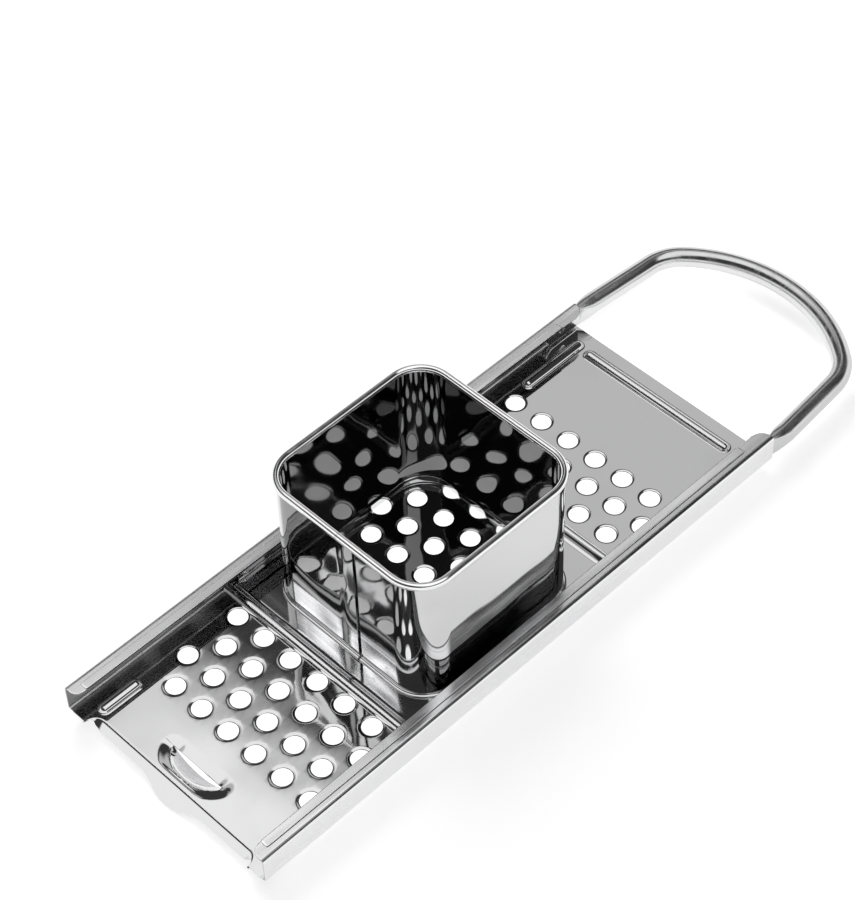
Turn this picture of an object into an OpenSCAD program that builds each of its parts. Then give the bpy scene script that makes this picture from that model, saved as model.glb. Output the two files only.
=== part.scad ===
// Spaetzle maker: a perforated plate with folded rails, a bow handle and a
// hopper on a carriage that slides along the rails.
// Millimetres. X is across the plate, Y points to the handle, Z is up.
// The origin is at the centre of the overall box, on its underside.

/* [Grater plate] */
// Thickness of the plate's sheet
sheet = 0.8; // [0.6:0.1:1.2]
// Length of the plate from its front edge to its handle edge
plate_length = 280; // [240:1:340]
// Width of the plate over the outside of both rails
plate_width = 111; // [106:1:130]

/* [Holes] */
// Diameter of one batter hole
hole_diameter = 8; // [6:0.5:10]
// Distance between neighbouring hole centres
hole_pitch = 15; // [13:0.5:15]
// Holes in one row
holes_per_row = 6; // [4:1:6]
// Rows of holes
hole_rows = 16; // [10:1:16]
// Distance from the plate's front edge to the first row
first_row = 35; // [32:1:38]

/* [Rails] */
// Height of a rail above the top of the plate
rail_height = 13; // [10:0.5:16]
// Width of a rail's inturned lip, over the wall
rail_lip = 7.2; // [6:0.1:8.5]
// Inside radius of the sheet's bends
bend_radius = 1; // [0.6:0.1:1.4]
// Width of the folded hem on a lip
hem_width = 3.5; // [2.5:0.5:4.5]
// Height of the hem above its lip
hem_height = 0.4; // [0.3:0.1:0.8]
// Bare length of lip ahead of the hem
hem_front_gap = 5; // [3:1:12]
// Bare length of lip behind the hem
hem_rear_gap = 14; // [10:1:30]
// Corner radius of a lip's front end
lip_front_radius = 4; // [1:0.5:5]
// Corner radius of a lip's handle end
lip_rear_radius = 6; // [1:0.5:6]

/* [Stop beads] */
// Length of a front stop bead
front_bead_length = 20; // [12:1:22]
// Distance from the plate's front edge to a front stop bead
front_bead_gap = 6.8; // [6:0.2:8]
// Length of a rear stop bead
rear_bead_length = 35; // [20:1:36]
// Distance from the plate's handle edge to a rear stop bead
rear_bead_gap = 6; // [4:0.5:12]
// Width of a pressed bead
bead_width = 4.6; // [4:0.2:5]
// Distance from the outside of a rail to a stop bead's middle
bead_inset = 10.7; // [9.6:0.1:12]
// Distance from the plate's handle edge to the cross bead's middle
cross_bead_gap = 9; // [7:0.5:12]
// Length of the cross bead
cross_bead_length = 79; // [50:1:82]

/* [Front lip and pot hook] */
// Slope of the front lip below level, in degrees
lip_slope = 48; // [40:1:60]
// Length of the lip's flat face along its slope
front_lip_length = 3.7; // [2:0.1:5]
// Bare sheet left square at each end of the lip, beside the rail
lip_end_gap = 9.7; // [8:0.1:12]
// Length of the lip's middle tab along the same slope
tab_length = 8.5; // [6:0.1:9.5]
// Width of the middle tab
tab_width = 35; // [24:1:44]
// Distance from the plate's front edge to the straight edge of the hook slot
hook_gap = 16.5; // [15:0.5:18]
// Width of the pressed hook across the plate
hook_width = 30; // [24:1:36]
// Depth of the pressed hook below the top of the plate
hook_depth = 6.4; // [5:0.2:6.4]

/* [Handle] */
// Diameter of the handle tube
tube_diameter = 8.8; // [6:0.2:9.2]
// Reach of the bow's middle line beyond the plate
handle_reach = 73.9; // [60:0.1:120]
// Radius of the arched cross grip
bow_radius = 66; // [62:1:110]
// Radius of the bow's two corners
corner_radius = 21; // [12:1:24]
// Angle by which each arm opens out towards the plate, in degrees
arm_splay = 4.6; // [0:0.1:6]
// Thickness of the flattened end of each arm
tongue_thickness = 2.4; // [1.6:0.1:3]
// Length of each flattened end inside its rail
tongue_length = 20; // [14:1:26]
// Length of the neck between tube and flattened end
neck_length = 10; // [4:0.5:12]
// Height of the tube's middle above the flattened end's middle
tube_rise = 0.8; // [0:0.1:1.5]
// Diameter of a spot weld
weld_diameter = 4; // [2:0.5:5]

/* [Carriage] */
// Length of the carriage over both rolled edges
carriage_length = 118; // [112:1:130]
// Side clearance between the carriage and each rail wall
side_clearance = 0.4; // [0.2:0.1:0.6]
// Gap between the carriage and the plate
slide_clearance = 0.3; // [0.2:0.05:0.5]
// Gap between the carriage's side guides and the rail lips
guide_clearance = 0.8; // [0.4:0.1:1.5]
// Distance from the plate's front edge to the carriage's front edge, at rest
carriage_rest = 78; // [50:0.5:90]
// Radius of the carriage's rolled edges
roll_radius = 2.2; // [1.6:0.1:2.2]
// Radius of the sweep up to a rolled edge
sweep_radius = 4; // [4:0.1:6]
// Height of the collar round the carriage's opening
collar_height = 4.2; // [2:0.2:6]

/* [Hopper] */
// Distance of the hopper's middle ahead of the carriage's middle
hopper_lead = 1.6; // [0:0.1:3]
// Width of the hopper over its walls
hopper_width = 86; // [70:1:86]
// Length of the hopper over its walls
hopper_length = 85.4; // [70:0.2:90]
// Height of the hopper above the carriage
hopper_height = 67.4; // [40:0.1:90]
// Outside radius of the hopper's corners
hopper_radius = 15; // [9:0.5:20]
// Thickness of the hopper's wall
hopper_wall_t = 0.8; // [0.6:0.1:1.2]
// Width of the hopper's outturned foot
foot_width = 1.3; // [0.8:0.1:2]
// Diameter of the rim's bead
rim_diameter = 3.2; // [2.6:0.1:4]
// Distance of the lapped seam from the middle of the front wall
seam_offset = 8; // [-12:0.5:20]
// Width of the seam's lap
seam_lap = 9; // [5:0.5:12]
// Width of the open line beside the lap
seam_line = 1; // [0.6:0.1:1.5]

/* [Hidden] */
$fn = 64;
cut = 1;                       // how far a cutter runs past what it cuts
lap = 0.3;                     // how far joined shapes run into each other
tube_step = 0.04;              // step in the tube's diameter where its parts join
arc_steps = 8;                 // flats in each bend of a sheet profile
steel = "silver";
bright_steel = "gainsboro";

// The front lip bends down over outer_bend and slopes away; its tab is lowest.
outer_bend = bend_radius + sheet;
tab_drop = outer_bend * (1 - cos(lip_slope)) + tab_length * sin(lip_slope) + sheet * cos(lip_slope);
tab_forward = outer_bend * sin(lip_slope) + tab_length * cos(lip_slope);
lip_setback = 6;
tab_reach = tab_forward - lip_setback;
overall_length = tab_reach + plate_length + handle_reach + tube_diameter / 2;

plate_z = tab_drop;            // top of the plate
front_y = tab_reach - overall_length / 2;
rear_y = front_y + plate_length;
half_width = plate_width / 2;
row_spacing = hole_pitch * sqrt(3) / 2;
lip_y = front_y + lip_setback; // where the front lip starts to bend
lip_half = half_width - lip_end_gap;
bead_x = half_width - bead_inset;
bead_lift = bead_width / 2 * 0.9;

// The rail is one sheet section: floor strip, wall and lip.
rail_foot = half_width - 3;    // where the floor strip meets the plate
lip_edge = half_width - rail_lip;
rail_inside = half_width - sheet;
channel_height = rail_height - sheet;

// The pressed hook turns about a line above the plate, level with its slot.
hook_axis_z = 3;
hook_y = front_y + hook_gap;
hook_turn = hook_depth + hook_axis_z;
hook_arc = (pow(hook_width / 2, 2) + pow(hook_depth, 2)) / (2 * hook_depth);
hook_sweep = 90;               // degrees turned, from level at the front to the bottom

// The handle's flattened ends lie against the rail walls.
tongue_x = rail_inside - tongue_thickness / 2;
tongue_half = (channel_height - 2 * bend_radius) / 2;
tongue_z = plate_z + channel_height / 2;
tube_z = tongue_z + tube_rise;
bow_y = rear_y + handle_reach - bow_radius;
root_from_bow = rear_y + neck_length - bow_y;
arch_turn = asin((tongue_x * cos(arm_splay) + root_from_bow * sin(arm_splay) - corner_radius)
                 / (bow_radius - corner_radius)) - arm_splay;
corner_turn = 90 - arm_splay - arch_turn;
corner_at = [(bow_radius - corner_radius) * sin(arch_turn), (bow_radius - corner_radius) * cos(arch_turn)];
arm_top = corner_at + corner_radius * [cos(arm_splay), sin(arm_splay)];
arm_length = (arm_top[1] - root_from_bow) / cos(arm_splay);
weld_y = rear_y - tongue_length / 2;
weld_height = 0.3;

// The carriage runs on the plate, between the rail walls and under the lips.
carriage_z = plate_z + slide_clearance;
carriage_half = rail_inside - side_clearance;
carriage_y = front_y + carriage_rest + carriage_length / 2;
deck_z = carriage_z + sheet;
guide_height = channel_height - slide_clearance - guide_clearance;
roll_rise = 45;                // slope at which the sweep meets the roll
roll_reach = sweep_radius * sin(roll_rise) + roll_radius * (sin(roll_rise) + 1);

// The hopper stands on the carriage, round the opening's collar.
hopper_y = carriage_y - hopper_lead;
rim_z = deck_z + hopper_height - rim_diameter / 2;
wall_top = rim_z + rim_diameter / 4;
collar_gap = 0.05;
collar_inset = hopper_wall_t + collar_gap;
seam_depth = hopper_wall_t / 2;
rim_split = 0.3;

function arc(cx, cy, r, from, to, steps = arc_steps) =
    [for (i = [0:steps]) let (a = from + (to - from) * i / steps) [cx + r * cos(a), cy + r * sin(a)]];

// A list without its first point, for an arc that starts where the last one ends.
function rest(points) = [for (i = [1:len(points) - 1]) points[i]];

module rounded_rect(width, length, radius) {
    square([width - 2 * radius, length], center = true);
    square([width, length - 2 * radius], center = true);
    for (x = [-1, 1], y = [-1, 1])
        translate([x * (width / 2 - radius), y * (length / 2 - radius)]) circle(radius);
}

// A pressed bead with round ends, standing on z = 0, along Y.
module bead(length) {
    half = bead_width / 2;
    run = length - bead_width;
    intersection() {
        translate([0, 0, -half + bead_lift]) union() {
            translate([0, -run / 2, 0]) rotate([-90, 0, 0]) cylinder(h = run, r = half);
            for (y = [-1, 1]) translate([0, y * run / 2, 0]) sphere(half);
        }
        translate([-half, -length / 2 - cut, 0]) cube([bead_width, length + 2 * cut, half]);
    }
}

module stop_beads() {
    for (side = [-1, 1]) {
        translate([side * bead_x, front_y + front_bead_gap + front_bead_length / 2, plate_z])
            bead(front_bead_length);
        translate([side * bead_x, rear_y - rear_bead_gap - rear_bead_length / 2, plate_z])
            bead(rear_bead_length);
    }
}

module cross_bead() {
    translate([0, rear_y - cross_bead_gap, plate_z]) rotate([0, 0, 90]) bead(cross_bead_length);
}

module hole_pattern() {
    for (row = [0:hole_rows - 1], i = [0:holes_per_row - 1]) {
        shift = (row % 2 == 0 ? 1 : -1) * hole_pitch / 4;
        x = (i - (holes_per_row - 1) / 2) * hole_pitch + shift;
        translate([x, front_y + first_row + row * row_spacing, plate_z - sheet - cut])
            cylinder(h = sheet + 2 * cut, d = hole_diameter);
    }
}

// Section of the front lip in Y and Z, from the plate's top at the bend.
module lip_section(length) {
    back = [cos(lip_slope), sin(lip_slope)];
    end = 90 + lip_slope;
    outer = arc(0, -outer_bend, outer_bend, 90, end);
    inner = arc(0, -outer_bend, bend_radius, end, 90);
    polygon(concat([[cut, 0]], outer,
                   [outer[arc_steps] - length * back, inner[0] - length * back],
                   inner, [[cut, -sheet]]));
}

module front_lip() {
    translate([-lip_half, lip_y, plate_z]) rotate([90, 0, 90])
        linear_extrude(2 * lip_half) lip_section(front_lip_length);
}

// Half-moon outline of the tab, with a hollow blend into the lip at each end.
module tab_outline() {
    drop = tab_length - front_lip_length;
    blend = tab_width / 4;
    round_radius = (pow(blend, 2) + pow(drop / 2, 2)) / drop;
    turn = asin(blend / round_radius);
    half = concat(arc(-2 * blend, -front_lip_length - round_radius, round_radius, 90, 90 - turn),
                  rest(arc(0, -tab_length + round_radius, round_radius, 270 - turn, 270)));
    right = [for (i = [len(half) - 2:-1:0]) [-half[i][0], half[i][1]]];
    polygon(concat([[-2 * blend, 0]], half, right, [[2 * blend, 0]]));
}

module front_tab() {
    translate([0, lip_y - outer_bend * sin(lip_slope), plate_z - outer_bend * (1 - cos(lip_slope))])
        rotate([lip_slope - 90, 0, 0]) rotate([90, 0, 0]) translate([0, 0, -sheet])
            linear_extrude(sheet) tab_outline();
}

// Solid swept by the hook's section about its line; grow moves the surface out.
module hook_form(grow) {
    translate([0, hook_y, plate_z + hook_axis_z]) rotate([0, 90, 0]) rotate([0, 0, -90])
        rotate_extrude(angle = hook_sweep) intersection() {
            translate([hook_turn - hook_arc, 0]) circle(hook_arc + grow);
            translate([0, -hook_width]) square([2 * hook_width, 2 * hook_width]);
        }
}

module pot_hook() {
    intersection() {
        difference() {
            hook_form(0);
            hook_form(-sheet);
        }
        translate([-hook_width, hook_y - 2 * hook_turn, plate_z - 2 * hook_turn])
            cube([2 * hook_width, 4 * hook_turn, 2 * hook_turn]);
    }
}

module hook_slot() {
    intersection() {
        hook_form(-sheet);
        translate([-hook_width, hook_y - 2 * hook_turn, plate_z - sheet - cut])
            cube([2 * hook_width, 2 * hook_turn, sheet + 2 * cut]);
    }
}

module plate_floor() {
    difference() {
        translate([-rail_foot, front_y, plate_z - sheet]) cube([2 * rail_foot, plate_length, sheet]);
        translate([-lip_half, front_y - cut, plate_z - sheet - cut])
            cube([2 * lip_half, lip_setback + cut, sheet + 2 * cut]);
        hole_pattern();
        hook_slot();
    }
}

module grater_plate() {
    color(steel) {
        plate_floor();
        front_lip();
        front_tab();
        pot_hook();
        stop_beads();
        cross_bead();
    }
}

// Section of the right rail in X and Z, above the plate's top.
module rail_section() {
    bend_x = half_width - outer_bend;
    low = outer_bend - sheet;
    high = rail_height - outer_bend;
    outer = concat([[rail_foot, -sheet]], arc(bend_x, low, outer_bend, -90, 0),
                   arc(bend_x, high, outer_bend, 0, 90), [[lip_edge, rail_height]]);
    inner = concat([[lip_edge, channel_height]], arc(bend_x, high, bend_radius, 90, 0),
                   arc(bend_x, low, bend_radius, 0, -90), [[rail_foot, 0]]);
    polygon(concat(outer, inner));
}

// What a rounded corner of the given radius cuts from a lip, at its inner end.
module lip_corner(radius) {
    difference() {
        translate([-cut, -cut, -cut]) cube([radius + cut, radius + cut, sheet + hem_height + 2 * cut]);
        translate([radius, radius, -2 * cut]) cylinder(h = sheet + hem_height + 4 * cut, r = radius);
    }
}

module rail() {
    difference() {
        union() {
            translate([0, rear_y, plate_z]) rotate([90, 0, 0]) linear_extrude(plate_length) rail_section();
            translate([lip_edge, front_y + hem_front_gap, plate_z + rail_height - hem_height])
                cube([hem_width, plate_length - hem_front_gap - hem_rear_gap, 2 * hem_height]);
        }
        translate([lip_edge, front_y, plate_z + channel_height]) lip_corner(lip_front_radius);
        translate([lip_edge, rear_y, plate_z + channel_height]) mirror([0, 1, 0])
            lip_corner(lip_rear_radius);
    }
}

module right_rail() {
    color(bright_steel) rail();
}

module left_rail() {
    color(bright_steel) mirror([1, 0, 0]) rail();
}

// The bow is drawn from the centre of its grip's arc.
module grip() {
    rotate([0, 0, 90 - arch_turn]) rotate_extrude(angle = 2 * arch_turn)
        translate([bow_radius, 0]) circle(d = tube_diameter);
}

// Each corner runs a little way into the grip, and each arm into its corner.
module corner() {
    run = lap / corner_radius * 180 / PI;
    translate(corner_at) rotate([0, 0, arm_splay]) rotate_extrude(angle = corner_turn + run)
        translate([corner_radius, 0]) circle(d = tube_diameter - tube_step);
}

// One arm, its end tapering from the round section to the flattened end.
module arm() {
    flat = tongue_thickness / 2;
    wide = tube_diameter / 2 + lap;
    intersection() {
        translate(arm_top) rotate([0, 0, arm_splay]) rotate([90, 0, 0]) translate([0, 0, -lap])
            cylinder(h = arm_length + 2 * neck_length, d = tube_diameter - 2 * tube_step);
        translate([tongue_x, root_from_bow, -tube_diameter]) linear_extrude(2 * tube_diameter)
            polygon([[-flat, -neck_length], [flat, -neck_length], [wide, 0], [2 * wide, 0],
                     [2 * wide, 2 * arm_length], [-2 * wide, 2 * arm_length], [-2 * wide, 0], [-wide, 0]]);
    }
}

// The flattened end, rounded, against the inside of the rail's wall.
module tongue() {
    translate([tongue_x - tongue_thickness / 2, 0, tongue_z]) rotate([90, 0, 90])
        linear_extrude(tongue_thickness) {
            translate([rear_y - tongue_length + tongue_half, 0]) circle(tongue_half);
            translate([rear_y - tongue_length + tongue_half, -tongue_half])
                square([tongue_length - tongue_half + lap, 2 * tongue_half]);
        }
}

module handle_bow() {
    color(steel) {
        translate([0, bow_y, tube_z]) {
            grip();
            for (side = [0, 1]) mirror([side, 0, 0]) {
                corner();
                arm();
            }
        }
        for (side = [0, 1]) mirror([side, 0, 0]) tongue();
    }
}

// A spot weld's raised mark on the inner face of the right flattened end.
module weld() {
    translate([tongue_x - tongue_thickness / 2, weld_y, tongue_z]) rotate([0, -90, 0])
        cylinder(h = weld_height, d = weld_diameter);
}

module right_spot_weld() {
    color("white") weld();
}

module left_spot_weld() {
    color("white") mirror([1, 0, 0]) weld();
}

// Section of one end of the carriage in Y and Z: deck, sweep up, and roll down.
module roll_section() {
    s = sheet / 2;
    start = -roll_reach - sheet / 2;
    sweep_y = start;
    sweep_z = s + sweep_radius;
    roll_y = sweep_y + (sweep_radius + roll_radius) * sin(roll_rise);
    roll_z = sweep_z - (sweep_radius + roll_radius) * cos(roll_rise);
    upper = concat(arc(sweep_y, sweep_z, sweep_radius - s, -90, -90 + roll_rise),
                   rest(arc(roll_y, roll_z, roll_radius + s, 90 + roll_rise, 0)));
    lower = concat(arc(roll_y, roll_z, roll_radius - s, 0, 90 + roll_rise),
                   rest(arc(sweep_y, sweep_z, sweep_radius + s, -90 + roll_rise, -90)));
    polygon(concat([[start - cut, sheet]], upper, lower, [[start - cut, 0]]));
}

module carriage_end() {
    translate([-carriage_half, carriage_length / 2, carriage_z]) rotate([90, 0, 90])
        linear_extrude(2 * carriage_half) roll_section();
}

module carriage_plate() {
    deck_length = carriage_length - 2 * roll_reach - sheet - 2 * lap;
    inner_width = hopper_width - 2 * collar_inset;
    inner_length = hopper_length - 2 * collar_inset;
    inner_radius = hopper_radius - collar_inset;
    color(steel) translate([0, carriage_y, 0]) difference() {
        union() {
            translate([-carriage_half, -deck_length / 2, carriage_z])
                cube([2 * carriage_half, deck_length, sheet]);
            for (side = [-1, 1])
                translate([side * (carriage_half - sheet / 2) - sheet / 2, -deck_length / 2, carriage_z])
                    cube([sheet, deck_length, guide_height]);
            carriage_end();
            mirror([0, 1, 0]) carriage_end();
            translate([0, -hopper_lead, carriage_z]) linear_extrude(collar_height)
                rounded_rect(inner_width, inner_length, inner_radius);
        }
        translate([0, -hopper_lead, carriage_z - cut]) linear_extrude(collar_height + 2 * cut)
            rounded_rect(inner_width - 2 * sheet, inner_length - 2 * sheet, inner_radius - sheet);
    }
}

module hopper_shell(grow, height) {
    linear_extrude(height) difference() {
        rounded_rect(hopper_width + 2 * grow, hopper_length + 2 * grow, hopper_radius + grow);
        rounded_rect(hopper_width - 2 * hopper_wall_t, hopper_length - 2 * hopper_wall_t,
                     hopper_radius - hopper_wall_t);
    }
}

// The front wall's lap: a second thickness beside an open line.
module seam() {
    front = -hopper_length / 2;
    translate([seam_offset, front - cut, deck_z - cut])
        cube([seam_line, cut + seam_depth, hopper_height]);
}

module hopper_wall() {
    lap_height = rim_z - rim_diameter / 2 - deck_z;
    color(bright_steel) translate([0, hopper_y, 0]) difference() {
        union() {
            translate([0, 0, deck_z]) hopper_shell(0, wall_top - deck_z);
            translate([0, 0, deck_z]) hopper_shell(foot_width, hopper_wall_t);
            translate([seam_offset - seam_lap, -hopper_length / 2 - seam_depth, deck_z])
                cube([seam_lap, 2 * seam_depth, lap_height]);
        }
        seam();
    }
}

module rim_ring() {
    run_x = hopper_width / 2 - hopper_radius;
    run_y = hopper_length / 2 - hopper_radius;
    middle = hopper_radius - hopper_wall_t / 2;
    for (a = [0, 180]) rotate([0, 0, a]) {
        translate([-run_x, -run_y - middle, 0]) rotate([0, 90, 0])
            cylinder(h = 2 * run_x, d = rim_diameter);
        translate([run_x + middle, -run_y, 0]) rotate([-90, 0, 0])
            cylinder(h = 2 * run_y, d = rim_diameter);
        translate([run_x, -run_y, 0]) rotate([0, 0, -90]) rotate_extrude(angle = 90)
            translate([middle, 0]) circle(d = rim_diameter);
        translate([run_x, run_y, 0]) rotate_extrude(angle = 90)
            translate([middle, 0]) circle(d = rim_diameter);
    }
}

module rim_bead() {
    color(steel) translate([0, hopper_y, 0]) difference() {
        translate([0, 0, rim_z]) rim_ring();
        translate([0, 0, deck_z]) hopper_shell(0, wall_top - deck_z);
        translate([-rim_split / 2, -hopper_length / 2 - rim_diameter, rim_z - rim_diameter])
            cube([rim_split, 2 * rim_diameter, 2 * rim_diameter]);
    }
}

grater_plate();
left_rail();
right_rail();
handle_bow();
left_spot_weld();
right_spot_weld();
carriage_plate();
hopper_wall();
rim_bead();
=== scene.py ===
import math
from types import SimpleNamespace
import bmesh
import bpy
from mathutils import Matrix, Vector
from mathutils.geometry import delaunay_2d_cdt


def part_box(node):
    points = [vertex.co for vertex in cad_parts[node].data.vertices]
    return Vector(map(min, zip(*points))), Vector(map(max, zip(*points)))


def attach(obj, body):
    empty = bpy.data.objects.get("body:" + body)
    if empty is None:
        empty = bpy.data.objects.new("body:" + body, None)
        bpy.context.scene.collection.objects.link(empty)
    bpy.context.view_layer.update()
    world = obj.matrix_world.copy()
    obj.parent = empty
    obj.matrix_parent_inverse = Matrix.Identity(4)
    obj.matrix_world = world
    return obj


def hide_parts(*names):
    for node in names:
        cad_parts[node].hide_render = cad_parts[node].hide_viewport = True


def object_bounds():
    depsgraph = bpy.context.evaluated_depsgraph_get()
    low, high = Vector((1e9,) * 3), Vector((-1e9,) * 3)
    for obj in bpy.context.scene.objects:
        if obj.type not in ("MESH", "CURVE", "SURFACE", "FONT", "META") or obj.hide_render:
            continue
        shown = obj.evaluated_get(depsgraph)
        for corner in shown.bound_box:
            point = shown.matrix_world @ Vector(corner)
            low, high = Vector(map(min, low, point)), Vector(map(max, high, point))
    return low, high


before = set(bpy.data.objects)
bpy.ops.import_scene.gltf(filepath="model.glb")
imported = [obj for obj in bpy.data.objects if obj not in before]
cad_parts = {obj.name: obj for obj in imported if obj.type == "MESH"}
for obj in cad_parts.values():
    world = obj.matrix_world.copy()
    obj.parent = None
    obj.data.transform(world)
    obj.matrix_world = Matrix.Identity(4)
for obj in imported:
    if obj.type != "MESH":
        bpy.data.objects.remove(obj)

bl_info = {
    "name": "Spaetzle maker",
    "version": (1, 0, 0),
    "blender": (4, 5, 0),
    "location": "3D View > Sidebar > Spaetzle",
    "description": "Builds the folded plate, handle and sliding hopper of a spaetzle maker",
    "category": "Object",
}

MM = 0.001
CAD_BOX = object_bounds()


def node_box(name):
    """Lowest and highest corner of a CAD node, in millimetres."""
    low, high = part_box(name)
    return Vector(low) / MM, Vector(high) / MM


RAIL_LOW, RAIL_HIGH = node_box("right_rail")
CARRIAGE_LOW, CARRIAGE_HIGH = node_box("carriage_plate")
HOPPER_LOW, HOPPER_HIGH = node_box("hopper_wall")
RIM_LOW, RIM_HIGH = node_box("rim_bead")
HANDLE_HIGH = node_box("handle_bow")[1]
WELD_LOW, WELD_HIGH = node_box("right_spot_weld")


# ---------------------------------------------------------------- settings

class PlateSettings(bpy.types.PropertyGroup):
    """Sizes of the folded plate."""
    sheet: bpy.props.FloatProperty(
        name="Sheet", description="Thickness of the sheet", subtype="DISTANCE",
        default=0.8 * MM, min=0.4 * MM)
    hole: bpy.props.FloatProperty(
        name="Hole", description="Diameter of a batter hole", subtype="DISTANCE",
        default=8.0 * MM, min=4.0 * MM)
    pitch: bpy.props.FloatProperty(
        name="Pitch", description="Distance between hole centres", subtype="DISTANCE", default=15.0 * MM)
    rows: bpy.props.IntProperty(name="Rows", description="Rows of holes", default=16, min=2)
    columns: bpy.props.IntProperty(name="Columns", description="Holes in one row", default=6, min=2)
    first_row: bpy.props.FloatProperty(
        name="First row", description="From the plate's front edge to the first row",
        subtype="DISTANCE", default=35.0 * MM)
    rail_height: bpy.props.FloatProperty(
        name="Rail height", description="From the top of the plate to the top of a lip",
        subtype="DISTANCE", default=13.0 * MM)
    bend: bpy.props.FloatProperty(
        name="Bend", description="Inside radius of the sheet's bends", subtype="DISTANCE", default=1.0 * MM)
    hem: bpy.props.FloatProperty(
        name="Hem", description="Width of the folded hem on a lip", subtype="DISTANCE", default=3.5 * MM)
    bead: bpy.props.FloatProperty(
        name="Bead", description="Width of a pressed bead", subtype="DISTANCE", default=4.6 * MM)


class HandleSettings(bpy.types.PropertyGroup):
    """Sizes of the bow handle."""
    tube: bpy.props.FloatProperty(
        name="Tube", description="Diameter of the tube", subtype="DISTANCE", default=8.8 * MM, min=4.0 * MM)
    bow: bpy.props.FloatProperty(
        name="Bow", description="Radius of the arched grip", subtype="DISTANCE", default=66.0 * MM)
    corner: bpy.props.FloatProperty(
        name="Corner", description="Radius of the two corners", subtype="DISTANCE", default=21.0 * MM)
    splay: bpy.props.FloatProperty(
        name="Splay", description="Angle by which each arm opens out", subtype="ANGLE",
        default=math.radians(4.6))
    neck: bpy.props.FloatProperty(
        name="Neck", description="Length of the taper to the flat end", subtype="DISTANCE",
        default=10.0 * MM)
    flat: bpy.props.FloatProperty(
        name="Flat", description="Thickness of the flattened end", subtype="DISTANCE", default=2.4 * MM)
    tongue: bpy.props.FloatProperty(
        name="Tongue", description="Length of the flattened end in its rail", subtype="DISTANCE",
        default=20.0 * MM)
    rise: bpy.props.FloatProperty(
        name="Rise", description="Height of the tube's middle above the flat end's",
        subtype="DISTANCE", default=0.8 * MM)


class CarriageSettings(bpy.types.PropertyGroup):
    """Sizes of the carriage and hopper."""
    roll: bpy.props.FloatProperty(
        name="Roll", description="Radius of the rolled edges", subtype="DISTANCE", default=2.2 * MM)
    sweep: bpy.props.FloatProperty(
        name="Sweep", description="Radius of the sweep up to a roll", subtype="DISTANCE", default=4.0 * MM)
    corner: bpy.props.FloatProperty(
        name="Corner", description="Outside radius of the hopper's corners", subtype="DISTANCE",
        default=15.0 * MM)
    seam: bpy.props.FloatProperty(
        name="Seam", description="From the middle of the front wall to the lapped seam",
        subtype="DISTANCE", default=8.0 * MM)


class FinishSettings(bpy.types.PropertyGroup):
    """Colours and polish."""
    steel: bpy.props.FloatVectorProperty(
        name="Steel", description="Reflected colour of the polished steel", subtype="COLOR",
        size=3, default=(0.66, 0.66, 0.665), min=0.0, max=1.0)
    polish: bpy.props.FloatProperty(
        name="Polish", description="Roughness of the cleanest steel", subtype="FACTOR",
        default=0.035, min=0.0, max=1.0)
    floor: bpy.props.FloatVectorProperty(
        name="Floor", description="Colour of the floor", subtype="COLOR",
        size=3, default=(0.6, 0.6, 0.6), min=0.0, max=1.0)


def in_millimetres(group):
    """A group's settings, with its lengths turned from metres into the script's millimetres."""
    values = {}
    for key in type(group).__annotations__:
        value = getattr(group, key)
        is_length = group.bl_rna.properties[key].unit == "LENGTH"
        values[key] = round(value / MM, 5) if is_length else value
    return SimpleNamespace(**values)


def plate_settings():
    return in_millimetres(bpy.context.scene.spaetzle_plate)


def handle_settings():
    return in_millimetres(bpy.context.scene.spaetzle_handle)


def carriage_settings():
    return in_millimetres(bpy.context.scene.spaetzle_carriage)


def finish_settings():
    return bpy.context.scene.spaetzle_finish


# ---------------------------------------------------------------- shader maths

class Socket:
    """Wraps a node's socket, so that an expression on values adds its Math nodes."""

    def __init__(self, tree, socket):
        self.tree = tree
        self.socket = socket

    def math(self, operation, *others):
        return node(self.tree, "ShaderNodeMath", {"operation": operation}, self, *others)

    def __add__(self, other):
        return self.math("ADD", other)

    def __sub__(self, other):
        return self.math("SUBTRACT", other)

    def __rsub__(self, other):
        return node(self.tree, "ShaderNodeMath", {"operation": "SUBTRACT"}, other, self)

    def __mul__(self, other):
        return self.math("MULTIPLY", other)

    __radd__ = __add__
    __rmul__ = __mul__

    def part(self, axis):
        """One coordinate of a vector."""
        return node(self.tree, "ShaderNodeSeparateXYZ", {}, self, output=axis)

    def smooth(self, start, end):
        """0 before start, 1 past end and smooth between, upwards or downwards."""
        return node(self.tree, "ShaderNodeMapRange", {"interpolation_type": "SMOOTHSTEP"}, self,
                    From_Min=start, From_Max=end)


def set_sockets(tree, made, values):
    """Fills a node's sockets, by number or name, with values or links."""
    for key, value in values.items():
        socket = made.inputs[key.replace("_", " ") if isinstance(key, str) else key]
        if isinstance(value, Socket):
            tree.links.new(value.socket, socket)
        else:
            socket.default_value = value


def node(tree, kind, settings, *values, output=0, **named):
    """Adds a node, sets it up, then fills its sockets with values or links."""
    made = tree.nodes.new(kind)
    for key, value in settings.items():
        setattr(made, key, value)
    set_sockets(tree, made, {**dict(enumerate(values)), **named})
    return Socket(tree, made.outputs[output])


def object_coordinates(tree, stretch=(1.0, 1.0, 1.0)):
    place = node(tree, "ShaderNodeTexCoord", {}, output="Object")
    return node(tree, "ShaderNodeMapping", {}, place, Scale=stretch)


def noise(tree, at, scale, detail=2.0, roughness=0.5):
    return node(tree, "ShaderNodeTexNoise", {}, Vector=at, Scale=scale, Detail=detail,
                Roughness=roughness)


def bump(tree, height, distance, strength=1.0, **named):
    return node(tree, "ShaderNodeBump", {}, Strength=strength, Distance=distance, Height=height, **named)


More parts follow.
